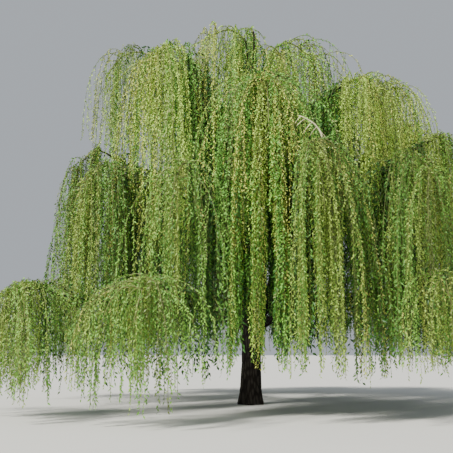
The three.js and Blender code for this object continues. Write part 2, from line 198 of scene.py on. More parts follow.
# Boughs: root radius, how steeply they leave, the line into the tip, and where they leave what carries them.
BOUGHS = {
    "top": {"root": 0.172, "steepness": 0.62, "pull": 0.1, "rise": 1.2},
    "shoulder": {"root": 0.078, "steepness": 0.6, "pull": 0.34, "rise": 0.5, "first": 0.4, "next": 0.075},
    "side": {"root": 0.088, "steepness": 0.5, "pull": 0.34, "rise": 0.5, "first": 0.13, "next": 0.05},
    "skirt": {"root": 0.09, "steepness": 0.36, "pull": 0.34, "rise": 0.35, "first": 2.12, "next": 0.11,
              "offset": 0.15},
}
BOUGH_ARCH = 0.36
# How many rings a bough's bark has, and how many points each of them, for the leading boughs and the rest.
BOUGH_MESH = {"top": (120, 20), "rest": (56, 12)}
# The first share of a bough that the trunk's bark covers, by ring, its rings and their points, how it
# closes, and how far the rest of the bough runs into it.
STUBS = {"top": 0.3, "skirt": 0.15}
STUB_MESH = (30, 24)
STUB_END = (0.99, 0.95, 0.8)
STUB_OVERLAP = 0.02
# The collar of a bough that leaves another: how much thicker it is, and over what length.
COLLAR_SWELL = 0.4
COLLAR_LENGTH = 0.2
FORK_HEIGHT = 2.35
FORK_OFFSET = 0.175
CLEARANCE = 0.0003
LIMB_MARGIN = 0.02

# The dead limb that stands bare over one mass at the front, with its broken prongs.
DEAD_LIMB = {
    "carrier": "side_8", "seat": 0.93, "root": 0.032, "tip": 0.017,
    "line": [(0.6, -0.35, 0.05), (0.48, -0.35, 0.72), (-0.13, 0.05, 1.05)],
    "prongs": [(0.5, 0.24, -0.09, -0.21), (0.62, 0.23, -0.06, -0.33), (0.7, -0.19, -0.06, -0.26),
               (0.8, -0.23, -0.07, -0.3), (0.9, -0.24, -0.06, -0.21), (0.97, -0.15, -0.04, -0.19)],
    "prong_root": 0.013, "prong_tip": 0.005, "lift": 0.04, "bare": 0.13, "open": (0, 0.25, 0.5, 0.75, 1.0),
    "relief": 0.004, "prong_relief": 0.002, "tone": 0.6, "mesh": (36, 12), "prong_mesh": (9, 7),
}

UPPER_RINGS = ("top", "shoulder")
LOWER_RINGS = ("side", "skirt")
TINTS = ("gold", "yellow", "lime", "green", "deep", "olive")
# How often each tint comes up on the outside of a mass and on its inside, on the outside of an upper mass
# and in a recess. The inside and recess tints are darker: painted shade in the hollows of the crown. The
# outside of an upper mass leans to gold and yellow: painted light on the top of the crown.
OUTSIDE_TINTS = np.array((0.15, 0.31, 0.24, 0.2, 0.0, 0.1))
INSIDE_PAINTED_SHADE_TINTS = np.array((0.06, 0.16, 0.15, 0.38, 0.15, 0.1))
TOP_PAINTED_LIGHT_TINTS = np.array((0.42, 0.36, 0.08, 0.05, 0.0, 0.09))
RECESS_PAINTED_SHADE_TINTS = np.array((0.0, 0.0, 0.03, 0.15, 0.8, 0.02))
# The share of hanging twigs with the tint of what carries them, and how far a patch leans to its own tint.
SHARED_TINT = 0.68
PATCH_LEAN = 0.4
# Up to which share of the ring's depth a twig counts as recessed and as inside, and over how much more its
# tints turn into those of the outside. The tints of the recess and of the inside are painted shade.
RECESSED_TO = 0.1
INSIDE_TO = 0.3
TURN_OVER = 0.6
# Below this height the twigs of the upper masses take the inside tints: painted shade on the lower part of
# their curtains.
SHADE_TINTS_BELOW = 5.6
# Leaves of these tints are larger, because they hang hidden behind the rest and close the crown.
LARGER_LEAVES = {"deep": 1.8, "green": 1.25, "olive": 1.15, "lime": 1.05}
# Masses whose colour leans to one tint, and by how much. This is partly the leaves' own colour and partly
# painted light and shade: the yellow of shoulder_1 and shoulder_7 is painted light on the shaded shoulder at
# the right, and the green of shoulder_6 is painted shade on the low curtain in front of the trunk.
MASS_TINTS = {
    "side_8": ("yellow", 0.5), "side_7": ("lime", 0.3), "shoulder_6": ("green", 0.3),
    "skirt_5": ("lime", 0.45), "skirt_6": ("lime", 0.45), "skirt_8": ("lime", 0.25),
    "shoulder_4": ("olive", 0.3), "top_1": ("olive", 0.2), "shoulder_1": ("yellow", 0.3),
    "shoulder_7": ("yellow", 0.4),
}
# How many times as many twigs the curtain of these masses has.
DENSITY = {
    "top_1": 1.7, "top_2": 1.3, "top_3": 1.4, "top_4": 1.4, "shoulder_1": 1.4, "shoulder_5": 1.5,
    "shoulder_6": 2.0, "shoulder_7": 1.3, "side_2": 1.15, "side_3": 1.15, "side_8": 1.5, "side_9": 1.5,
    "skirt_2": 1.3, "skirt_3": 1.3, "skirt_5": 2.0, "skirt_6": 2.2, "skirt_7": 1.6,
}
# How close the twigs hang in the hollow of a mass, where that differs from its curtain.
HOLLOW = {"skirt_5": 0.35, "skirt_6": 1.2}
# Masses whose finer twigs end higher up, and by how much.
HIGHER_HEM = {"shoulder_4": 0.6}

# The furrows of the bark: cells on each metre across and along, how fast and how far they wander, how wide
# their edge is, and the depth that stays where the plain trunk was.
FURROWS = {"cells": (11, 11, 2.6), "wander": 3.1, "wander_far": 0.35, "edge": 0.42, "level": 0.35}
# The bark of a limb: how much closer its furrows are, how far apart those of two limbs start, how much and
# how often its girth swells, its largest relief for its radius, and its share of the trunk's relief.
LIMB_BARK = {"scale": 1.6, "start": 7.3, "swell": 0.1, "swell_rate": 2.2, "most_relief": 0.16, "share": 0.7}

# The smallest and the largest leaf, as shares of the middle size.
LEAF_SIZES = (0.7, 1.25)
# How much a leaf flutters along each axis, and how far it turns to the sky.
FLUTTER = (1.25, 1.25, 0.8)
TO_SKY = (0.0, 0.0, 0.35)

# The stage: the floor's radius, the sky, the sun and the camera.
FLOOR_RADIUS = 140
SKY = {"colour": (0.82, 0.88, 0.95, 1), "strength": 0.55}
SUN = {"strength": 6.4, "colour": (1.0, 0.96, 0.87), "width": 9, "shines_to": (0.62, 0.55, -1.05)}
CAMERA = {"place": (-0.7, -21.3, 1.6), "looks_up": 9.58, "sensor": 36, "lens": 57.2, "far": 400}


def float_prop(name, description, default, least, **kind):
    return FloatProperty(name=name, description=description, default=default, min=least, **kind)


def length_prop(name, description, default, least):
    return float_prop(name, description, default, least, unit="LENGTH")


def angle_prop(name, description, degrees):
    return float_prop(name, description, math.radians(degrees), 0, subtype="ANGLE")


def count_prop(name, description, default, least):
    return IntProperty(name=name, description=description, default=default, min=least)


class WillowSizes(bpy.types.PropertyGroup):
    """Sizes and counts of the willow's bark, twigs and leaves"""

    relief: length_prop("Bark relief", "Depth of the furrows in the trunk's bark", 0.02, 0)
    bark_cell: length_prop("Bark detail", "Size of the faces that carry the trunk's relief", 0.021, 0.01)
    leaders: float_prop(
        "Leading twigs", "Finer leading twigs on each square metre of a mass's curtain", 0.85, 0.1)
    recessed: float_prop(
        "Recessed twigs", "Leading twigs behind a curtain, on each square metre of it", 0.9, 0.05)
    whips: float_prop("Hanging twigs", "Hanging twigs on each metre of a leading twig", 1.9, 0.1)
    bough_whips: count_prop("Twigs on limbs", "Hanging twigs straight on each bough and each stem", 46, 1)
    whip_reach: length_prop("Twig reach", "How far a hanging twig stands off its leading twig", 0.17, 0.05)
    whip_radius: length_prop("Twig thickness", "Radius of a hanging twig at its root", 0.005, 0.001)
    leaf_count: count_prop("Leaves", "How many leaves the whole crown carries", 580000, 1000)
    leaf_length: length_prop("Leaf length", "Length of a leaf of middle size", 0.078, 0.02)
    leaf_width: length_prop("Leaf width", "Width of a leaf of middle size", 0.031, 0.003)
    # Painted light: the leaves of the upper rings are copies of each tint made paler, for the light on the top
    # of the crown.
    painted_top_light: float_prop("Paler top", "How much paler the leaves of the upper rings are", 1.6, 0.1)
    leaf_least: angle_prop("Least leaf angle", "Least angle between a leaf and its twig", 18)
    leaf_most: angle_prop("Largest leaf angle", "Largest angle between a leaf and its twig", 60)


def colour_prop(name, description, default):
    return FloatVectorProperty(
        name=name, description=description, subtype="COLOR", size=3, min=0, max=1, default=default)


class WillowColours(bpy.types.PropertyGroup):
    """Colours of the willow's leaves, twigs and bark"""

    gold: colour_prop("Gold leaves", "Young leaves and catkins in full light", (0.38, 0.42, 0.077))
    yellow: colour_prop("Yellow-green leaves", "Leaves on the outside of the crown", (0.3, 0.45, 0.066))
    lime: colour_prop("Lime leaves", "Fresh leaves of the low skirt", (0.215, 0.46, 0.06))
    green: colour_prop("Green leaves", "Full-grown leaves", (0.105, 0.27, 0.035))
    # Painted shade: deep green leaves fill the recesses and hollows of the crown so that these read dark.
    deep: colour_prop("Deep green leaves", "Leaves in the hollows of the crown", (0.028, 0.1, 0.014))
    olive: colour_prop("Olive leaves", "Dull leaves", (0.185, 0.245, 0.07))
    twig: colour_prop("Twigs", "Bark of the hanging twigs", (0.2, 0.23, 0.055))
    # The ridge and furrow colours are partly the dark grey-brown of the bark and partly painted shade: they are
    # near black for the deep shade of the crown on the trunk and boughs.
    ridge: colour_prop("Bark ridges", "Weathered ridges of the old bark", (0.042, 0.036, 0.03))
    furrow: colour_prop("Bark furrows", "Bottom of the furrows in the old bark", (0.014, 0.011, 0.009))
    dead: colour_prop("Dead wood", "Bare weathered wood", (0.86, 0.83, 0.5))
    floor: colour_prop("Floor", "The floor of the stage", (0.62, 0.62, 0.6))


# Numbers and curves.

WORD = 0xFFFFFFFF


def seeded(seed):
    """The small seeded generator of the solids, so that twigs grow on from the same places."""
    state = seed & WORD

    def draw():
        nonlocal state
        state = (state + 0x6D2B79F5) & WORD
        t = ((state ^ (state >> 15)) * (state | 1)) & WORD
        t ^= (t + ((t ^ (t >> 7)) * (t | 61))) & WORD
        return ((t ^ (t >> 14)) & WORD) / (WORD + 1)

    return draw


def mix(a, b, t):
    return a + (b - a) * t


def unit(vector):
    return vector / np.linalg.norm(vector)


def bezier(corners, share):
    """Points of a cubic curve at one share or at an array of them."""
    t = np.asarray(share, float)[..., None]
    a, b, c, d = corners
    return a * (1 - t) ** 3 + b * 3 * t * (1 - t) ** 2 + c * 3 * t**2 * (1 - t) + d * t**3


def length_of(points):
    return np.linalg.norm(np.diff(points, axis=0), axis=1).sum()


def taper(root, tip, share):
    return mix(root, tip, np.asarray(share, float) ** 0.8)


def trunk_axis(height):
    share = max(0.0, height / TRUNK_TOP)
    return np.array((*(TRUNK_LEAN * share**1.5), height))


# The rule of the crown.

def mass_plan(ring, number):
    size = RINGS[ring]
    azimuth_degrees, half_degrees = size["sectors"][number]
    name = f"{ring}_{number + 1}"
    own = OWN_SHAPE.get(name, {})
    seed = SEED * 1000 + list(RINGS).index(ring) * 100 + number
    random = seeded(seed)
    azimuth = math.radians(azimuth_degrees)
    along = np.array((math.cos(azimuth), math.sin(azimuth), 0))
    frontness = (1 - math.sin(azimuth)) / 2
    crest_jitter = 0.24 * (random() - 0.5)
    hem_jitter = 0.25 * (random() - 0.5)
    inner = size["inner"] + own.get("out", 0)
    outer = size["outer"] + own.get("out", 0)
    return SimpleNamespace(
        name=name, ring=ring, random=random, azimuth=azimuth, along=along, seed=seed,
        across=np.array((-along[1], along[0], 0)),
        spread=math.tan(math.radians(half_degrees)),
        inner=inner, outer=outer, depth=outer - inner,
        fill=own.get("fill", FILL),
        crest=size["crest"] - size["dip"] * frontness + own.get("raise", 0) + crest_jitter,
        fall=own.get("fall", size["fall"]),
        hem=own.get("hem", mix(size["hem"], size["front_hem"], frontness) + hem_jitter),
    )


def placed(plan, out, sideways, height):
    """A point of the crown: out from the crown's centre, sideways, and up."""
    return CROWN_CENTRE + plan.along * out + plan.across * sideways + np.array((0, 0, height))


def out_at(plan, share, height):
    return placed(plan, plan.inner + share * plan.depth, 0, height)


def tip_direction(plan):
    return unit(plan.along + np.array((0, 0, BOUGHS[plan.ring]["rise"])))


def bough_tip(plan):
    return out_at(plan, STEM["tip_out"], plan.crest - STEM["tip_down"] * plan.fall)


def stem_of(plan):
    """The stem goes on from the bough's tip, over the crest and down the outside of the crown."""
    start = bough_tip(plan) + tip_direction(plan) * CLEARANCE
    return (
        start,
        start + tip_direction(plan) * STEM["arch"] * plan.depth,
        out_at(plan, STEM["turn_out"], plan.crest - STEM["turn_down"] * plan.fall),
        out_at(plan, STEM["end_out"], plan.crest - plan.fall),
    )


def fine_fill(plan):
    return FINE_FILL.get(plan.name, FINE_FILL[plan.ring])


def parted(plan, sideways, out, height):
    """Moves what would hang in a parting of the mass to the nearer side of it."""
    for middle, half, slope, top in PARTINGS.get(plan.name, ()):
        off = sideways - middle - slope * (out - plan.outer)
        edge = sideways - off + np.where(off < 0, -half, half)
        sideways = np.where((np.abs(off) < half) & (height < top), edge, sideways)
    return sideways


def between_tassels(plan, sideways):
    """How much higher twigs end between the tassels in which the curtain of a mass hangs, one to a rope."""
    rope = sideways / HANG["rope"]
    return HANG["tassel"][plan.ring] * (2 * np.abs(rope - np.floor(rope) - 0.5)) ** 1.5


def leader_of(plan, stem, number, count, fine=False, bough=None, patch=None):
    """One leading twig: from the stem up and sideways, over, and then straight down to the hem.
    Fine ones fill the sector to its edges. Where a bough is given, they spring from it, further in, and where
    a patch is given, they keep to it."""
    random = plan.random
    outside = number % 2 == 0
    share = -1 + (2 * (number + 0.5)) / count + HANG["stagger"] * (random() - 0.5)
    reach = mix(*HANG["outside" if outside else "inside"], random())
    fill, below = fine_fill(plan) if fine else plan.fill, 0
    if bough is not None:
        reach = mix(*HANG["recess"][plan.ring], random())
    elif patch:
        across, through, tint, below = patch
        share, reach, fill = mix(*across, (number + 0.5) / count), mix(*through, random()), 1
    out = plan.inner + reach * plan.depth
    if fine:
        share = share if patch else np.clip(share, -1, 1)
        sideways = share * fill * max(out * plan.spread - HANG["fine_margin"], HANG["least_room"])
    else:
        sideways = share * fill * (out * plan.spread - SPRAY_WIDTH)
    if fine and bough is None:
        rope = HANG["rope"] * (math.floor(sideways / HANG["rope"]) + 0.5)
        sideways = float(parted(plan, mix(sideways, rope, HANG["gather"]), out, 0))
    if bough is not None:
        root = bezier(bough, mix(*HANG["bough_range"], random()))
    else:
        spring = np.clip(reach - HANG["spring"] - HANG["spring_spread"] * random(), *HANG["spring_range"])
        root = bezier(stem, spring)
    top = root[2] + mix(*HANG["fine_rise" if fine else "rise"], random())
    shoulder = root[2] - HANG["droop"] * plan.fall * max(reach, 0)
    shoulder -= HANG["fine_sag" if fine else "sag"] * abs(sideways)
    spread = HANG["hem_spread"] * random() * HANG["outside_hem" if outside else "inside_hem"]
    bend = placed(plan, out, sideways, shoulder)
    lowest = plan.hem
    if fine:
        spread *= HANG["fine_hem"][plan.ring]
        lowest = max(plan.hem + HIGHER_HEM.get(plan.name, 0) - SPRAY_BELOW - below, HANG["least_hem"])
    hem = mix(lowest, shoulder, spread)
    if bough is not None:
        hem = min(hem + HANG["recess_hem"], shoulder)
    elif fine:
        short = HANG["uneven"] * (1 + math.sin(HANG["uneven_turn"] * (sideways // HANG["rope"]) + plan.seed))
        hem = min(hem + short * HANG["tassel"][plan.ring] + between_tassels(plan, sideways), shoulder)
    tip = placed(plan, out + HANG["kick"] * random(), sideways, hem)
    middle = mix(root, bend, mix(*HANG["fine_arch"], random()) if fine else HANG["arch"])
    middle[2] = top
    return SimpleNamespace(line=(root, middle, bend, tip), reach=reach)


def bough_curve(root, plan):
    """A bough leaves its parent steeply, and arches over to its tip."""
    tip = bough_tip(plan)
    span = np.linalg.norm(tip - root)
    way = BOUGHS[plan.ring]
    away = unit(plan.along * (1 - way["steepness"]) + np.array((0, 0, way["steepness"])))
    return (root, root + away * BOUGH_ARCH * span, tip - tip_direction(plan) * way["pull"] * span, tip)


def turn_between(a, b):
    return abs(math.atan2(math.sin(a - b), math.cos(a - b)))


def grow_limbs():
    """The plans of all masses by name, and the line of each one's bough."""
    plans = {ring: [mass_plan(ring, n) for n in range(len(size["sectors"]))] for ring, size in RINGS.items()}
    curves = {}
    for plan in plans["top"]:
        curves[plan.name] = bough_curve(trunk_axis(FORK_HEIGHT) + plan.along * FORK_OFFSET, plan)
    for ring in ("side", "shoulder"):
        taken = {}
        for plan in plans[ring]:
            parent = min(plans["top"], key=lambda top: turn_between(top.azimuth, plan.azimuth)).name
            turn = taken.get(parent, 0)
            taken[parent] = turn + 1
            share = BOUGHS[ring]["first"] + BOUGHS[ring]["next"] * turn
            curves[plan.name] = bough_curve(bezier(curves[parent], share), plan)
    for number, plan in enumerate(plans["skirt"]):
        height = BOUGHS["skirt"]["first"] + BOUGHS["skirt"]["next"] * (number % 3)
        curves[plan.name] = bough_curve(trunk_axis(height) + plan.along * BOUGHS["skirt"]["offset"], plan)
    return plans, curves


def all_of(plans):
    return [plan for masses in plans.values() for plan in masses]


def bough_radius(plan, share):
    return taper(BOUGHS[plan.ring]["root"], RINGS[plan.ring]["tip"], share)


def dead_line(curves):
    seat = bezier(curves[DEAD_LIMB["carrier"]], DEAD_LIMB["seat"])
    return (seat, *(seat + np.array(step) for step in DEAD_LIMB["line"]))


def limb_samples(plans, curves):
    """Points along every bough, each with the radius that twigs keep clear of. The dead limb stands in the
    open: twigs also keep out of the space in front of it."""
    shares = np.linspace(0, 0.97, 40)
    points, radii = [], []
    for plan in all_of(plans):
        points.append(bezier(curves[plan.name], shares))
        radii.append(bough_radius(plan, shares))
    heights = np.linspace(0, TRUNK_TOP, 30)
    points.append(np.array([trunk_axis(height) for height in heights]))
    radii.append(np.interp(heights, *zip(*TRUNK_PROFILE)))
    bare = bezier(dead_line(curves), np.linspace(0.4, 1, 12))
    for ahead in DEAD_LIMB["open"]:
        points.append(bare + np.array((0, -ahead, 0)))
        radii.append(np.full(len(bare), DEAD_LIMB["bare"]))
    return np.concatenate(points), np.concatenate(radii) + LIMB_MARGIN
def spread_shares(low, high, count, rng):
    return mix(low, high, (np.arange(count) + rng.random(count)) / count)


def hanging_twigs(plan, line, shares, way, hem, reach, rng, fill=0, hollow=False):
    """Hanging twigs from a line, as an array of lines of their own, inside the sector of their mass."""
    share = np.concatenate([spread_shares(*part, rng) for part in shares])
    count = len(share)
    root = bezier(line, share)
    turn = rng.uniform(0, 2 * math.pi, count)
    distance = reach * np.sqrt(rng.uniform(0.02, 1, count))
    target = root[:, :2] + np.stack((np.cos(turn), np.sin(turn)), 1) * distance[:, None]
    away = target - CROWN_CENTRE[:2]
    out = np.clip(away @ plan.along[:2], WHIP["nearest"], plan.outer + WHIP["beyond"])
    room = max(fill, fine_fill(plan), plan.fill) * plan.spread * out - WHIP["edge"]
    room = np.maximum(room, WHIP["narrowest"])
    sideways = np.clip(away @ plan.across[:2], -room, room)
    if not hollow:
        sideways = parted(plan, sideways, out, root[:, 2])
    target = CROWN_CENTRE[:2] + out[:, None] * plan.along[:2] + sideways[:, None] * plan.across[:2]
    lowest = hem + rng.uniform(-SPRAY_BELOW, WHIP["above_hem"], count)
    if not hollow:
        lowest += between_tassels(plan, sideways)
    lowest = np.maximum(lowest, WHIP["lowest"])
    length = np.minimum(rng.uniform(*way["lengths"], count), root[:, 2] - lowest)
    keep = length > WHIP["least"]
    root, target, length, share = (x[keep] for x in (root, target, length, share))
    s = WHIP_SHARES[None, :]
    lift = (rng.uniform(*way["lifts"], len(root)) * np.where(share < 0.5, 1, WHIP["outer_lift"]))[:, None]
    sway_turn = rng.uniform(0, 2 * math.pi, len(root))
    sway = (rng.uniform(0, WHIP["sway"], len(root)) * length)[:, None] * np.sin(math.pi * s * 1.4) * s
    settle = 1 - (1 - s) ** 5
    line = np.empty((len(root), len(WHIP_SHARES), 3))
    for axis, swing in ((0, np.cos(sway_turn)), (1, np.sin(sway_turn))):
        line[:, :, axis] = root[:, axis, None] + (target[:, axis] - root[:, axis])[:, None] * settle
        line[:, :, axis] += sway * swing[:, None]
    risen = s / WHIP["crest"]
    line[:, :, 2] = root[:, 2, None] + lift * risen * np.exp(1 - risen) - length[:, None] * s
    return line


# The tints of a twig by how deep in its mass it hangs: recessed and inside twigs take darker tints, painted
# shade, and the outside of an upper mass takes paler ones, painted light.
def tint_weights(plan, reach, lean=None):
    if reach < RECESSED_TO and lean is None:
        return RECESS_PAINTED_SHADE_TINTS
    outside = TOP_PAINTED_LIGHT_TINTS if plan.ring in UPPER_RINGS else OUTSIDE_TINTS
    weights = mix(INSIDE_PAINTED_SHADE_TINTS, outside, np.clip((reach - INSIDE_TO) / TURN_OVER, 0, 1))
    tint, much = lean or MASS_TINTS.get(plan.name, (TINTS[0], 0))
    weights = weights * (1 - much)
    weights[TINTS.index(tint)] += much
    return weights / weights.sum()


def clear_of_limbs(lines, limbs):
    """Which lines keep away from the boughs, apart from their start, which may spring from one."""
    points, radii = limbs
    clear = np.ones(len(lines), bool)
    for step in range(3, lines.shape[1]):
        for share in (0.3, 0.65, 1.0):
            at = mix(lines[:, step - 1], lines[:, step], share)
            gap = np.linalg.norm(at[:, None, :] - points[None, :, :], axis=2) - radii[None, :]
            clear &= gap.min(1) > 0
    return clear


def twigs_of(plan, lines, weights, shared_tint, limbs, rng):
    """Hanging twigs that are clear of the limbs. Most of them share the tint of what they hang from."""
    lines = lines[clear_of_limbs(lines, limbs)]
    tints = rng.choice(len(TINTS), len(lines), p=weights)
    tints = np.where(rng.random(len(lines)) < SHARED_TINT, shared_tint, tints)
    # Low on an upper mass the twigs take the inside tints, painted shade.
    if plan.ring in UPPER_RINGS:
        shaded_tints = rng.choice(len(TINTS), len(lines), p=INSIDE_PAINTED_SHADE_TINTS / INSIDE_PAINTED_SHADE_TINTS.sum())
        tints = np.where(lines[:, 0, 2] < SHADE_TINTS_BELOW, shaded_tints, tints)
    return [SimpleNamespace(ring=plan.ring, points=line, tint=tint) for line, tint in zip(lines, tints)]


def twig_rows(plan, bough, sizes):
    """How many leading twigs a mass has of each kind, and what is said of each kind."""
    area = 2 * plan.spread * (plan.inner + plan.outer) / 2 * (plan.crest - plan.hem)
    density = DENSITY.get(plan.name, 1)
    rows = [
        (RINGS[plan.ring]["leaders"], {}),
        (round(sizes.leaders * area * density), {"fine": True}),
        (round(sizes.recessed * area * HOLLOW.get(plan.name, density)), {"fine": True, "bough": bough}),
    ]
    return rows + [(count, {"fine": True, "patch": patch}) for count, *patch in PATCHES.get(plan.name, ())]


def grow_crown(sizes):
    """Every stem, leading twig and hanging twig of the crown, with its ring, tint and thickness."""
    plans, curves = grow_limbs()
    limbs = limb_samples(plans, curves)
    stems, leaders, whips = [], [], []
    for plan in all_of(plans):
        rng = np.random.default_rng(plan.seed)
        stem, bough = stem_of(plan), curves[plan.name]
        stems.append(SimpleNamespace(points=bezier(stem, np.linspace(0, 1, STEM_POINTS))))
        for count, manner in twig_rows(plan, bough, sizes):
            patch = manner.get("patch")
            fill = max(map(abs, patch[0])) if patch else 0
            for number in range(count):
                leader = leader_of(plan, stem, number, count, **manner)
                weights = tint_weights(plan, leader.reach, patch and (patch[2], PATCH_LEAN))
                tint = rng.choice(len(TINTS), p=weights)
                points = bezier(leader.line, np.linspace(0, 1, LEADER_POINTS))
                radii = FINE_RADII if manner else TWIG_RADII
                leaders.append(SimpleNamespace(ring=plan.ring, points=points, tint=tint, radii=radii))
                total = max(ON_LEADER["fewest"], round(sizes.whips * length_of(points)))
                on_arch = round(ON_LEADER["arch"] * total)
                low, turn, high = ON_LEADER["shares"]
                shares = ((low, turn, on_arch), (turn, high, total - on_arch))
                lines = hanging_twigs(plan, leader.line, shares, ON_LEADER, leader.line[3][2],
                                      sizes.whip_reach, rng, fill=fill, hollow="bough" in manner)
                whips += twigs_of(plan, lines, weights, tint, limbs, rng)
        for line, way in ((bough, ON_BOUGH), (stem, ON_STEM)):
            lines = hanging_twigs(plan, line, ((*way["shares"], sizes.bough_whips),), way,
                                  plan.hem + way["above"], way["wider"] * sizes.whip_reach, rng,
                                  hollow=way is ON_BOUGH)
            weights = tint_weights(plan, way["depth"])
            whips += twigs_of(plan, lines, weights, TINTS.index(way["tint"]), limbs, rng)
    return stems, leaders, whips


# Meshes and materials.

def add_object(name, mesh):
    piece = bpy.data.objects.new(name, mesh)
    bpy.context.scene.collection.objects.link(piece)
    return piece


def line_mesh(name, lines, radii):
    """A mesh of open lines that carries each point's thickness and the way out of the crown there."""
    counts = [len(line.points) for line in lines]
    points = np.concatenate([line.points for line in lines])
    starts = np.cumsum([0] + counts[:-1])
    edges = [(start + i, start + i + 1) for start, count in zip(starts, counts) for i in range(count - 1)]
    mesh = bpy.data.meshes.new(name)
    mesh.from_pydata(points, edges, [])
    thickness = mesh.attributes.new("thickness", "FLOAT", "POINT")
    widths = [mix(*getattr(line, "radii", radii), np.linspace(0, 1, n)) for line, n in zip(lines, counts)]
    thickness.data.foreach_set("value", np.concatenate(widths))
    outwards = points - CROWN_CENTRE
    outwards[:, 2] = 0
    outwards /= np.maximum(np.linalg.norm(outwards, axis=1), 0.01)[:, None]
    facing = mesh.attributes.new("outwards", "FLOAT_VECTOR", "POINT")
    facing.data.foreach_set("vector", outwards.ravel())
    return mesh


def new_tree(name, inputs):
    """An empty modifier tree with named inputs, and its two end nodes."""
    tree = bpy.data.node_groups.new(name, "GeometryNodeTree")
    tree.is_modifier = True
    tree.interface.new_socket("Geometry", in_out="OUTPUT", socket_type="NodeSocketGeometry")
    tree.interface.new_socket("Geometry", in_out="INPUT", socket_type="NodeSocketGeometry")
    for label, kind in inputs:
        tree.interface.new_socket(label, in_out="INPUT", socket_type=f"NodeSocket{kind}")
    return tree, tree.nodes.new("NodeGroupInput"), tree.nodes.new("NodeGroupOutput")


def add_node(tree, kind, links=(), **settings):
    """A node with its settings, whose inputs are linked or set, by name or by number."""
    node = tree.nodes.new(kind)
    for key, value in settings.items():
        setattr(node, key, value)
    for socket, value in dict(links).items():
        if isinstance(value, bpy.types.NodeSocket):
            tree.links.new(value, node.inputs[socket])
        else:
            node.inputs[socket].default_value = value
    return node


def random_vector(tree, seed):
    links = {0: (-1, -1, -1), 1: (1, 1, 1), "Seed": seed}
    return add_node(tree, "FunctionNodeRandomValue", links, data_type="FLOAT_VECTOR").outputs[0]


def random_float(tree, low, high, seed):
    links = {2: low, 3: high, "Seed": seed}
    return add_node(tree, "FunctionNodeRandomValue", links, data_type="FLOAT").outputs[1]


def point_value(tree, name, kind):
    return add_node(tree, "GeometryNodeInputNamedAttribute", {"Name": name}, data_type=kind).outputs[0]


def vector_math(tree, operation, *values, scale=None):
    node = add_node(tree, "ShaderNodeVectorMath", dict(enumerate(values)), operation=operation)
    if scale is not None:
        tree.links.new(scale, node.inputs["Scale"])
    return node.outputs[0]


def plain_math(tree, operation, *values):
    return add_node(tree, "ShaderNodeMath", dict(enumerate(values)), operation=operation).outputs[0]


def noise_of(tree, scale, detail, vector=None, **more):
    """Noise over the place on the object, or over the vector that is given."""
    if vector is None:
        vector = add_node(tree, "ShaderNodeTexCoord").outputs["Object"]
    links = {"Vector": vector, "Scale": scale, "Detail": detail, **more}
    return add_node(tree, "ShaderNodeTexNoise", links).outputs[0]


def ramp_of(tree, value, low, high, ends=(0, 1)):
    """A colour that goes from low to high while the value goes between the ends."""
    ramp = add_node(tree, "ShaderNodeValToRGB", {"Fac": value})
    for element, colour, position in zip(ramp.color_ramp.elements, (low, high), ends):
        element.position = position
        element.color = (*colour, 1)
    return ramp.outputs[0]


def range_of(tree, value, low, high):
    return add_node(tree, "ShaderNodeMapRange", {"Value": value, "To Min": low, "To Max": high}).outputs[0]


def times(share, colour):
    return [share * channel for channel in colour]


def finish_tree(tree, end, geometry, material):
    result = add_node(tree, "GeometryNodeRealizeInstances", {"Geometry": geometry}).outputs[0]
    for name in ("thickness", "outwards"):
        result = add_node(tree, "GeometryNodeRemoveAttribute", {"Geometry": result, "Name": name}).outputs[0]
    painted = add_node(tree, "GeometryNodeSetMaterial", {"Geometry": result, "Material": material})
    tree.links.new(painted.outputs[0], end.inputs[0])


def twig_tree():
    """Round twigs along lines, closed at both ends."""
    tree, start, end = new_tree("Willow twigs", [("Sides", "Int"), ("Material", "Material")])
    curve = add_node(tree, "GeometryNodeMeshToCurve", {"Mesh": start.outputs["Geometry"]}).outputs[0]
    circle = add_node(tree, "GeometryNodeCurvePrimitiveCircle",
                      {"Resolution": start.outputs["Sides"], "Radius": 1.0}).outputs[0]
    mesh = add_node(tree, "GeometryNodeCurveToMesh", {
        "Curve": curve, "Profile Curve": circle, "Scale": point_value(tree, "thickness", "FLOAT"),
        "Fill Caps": True,
    }).outputs[0]
    finish_tree(tree, end, mesh, start.outputs["Material"])
    return tree


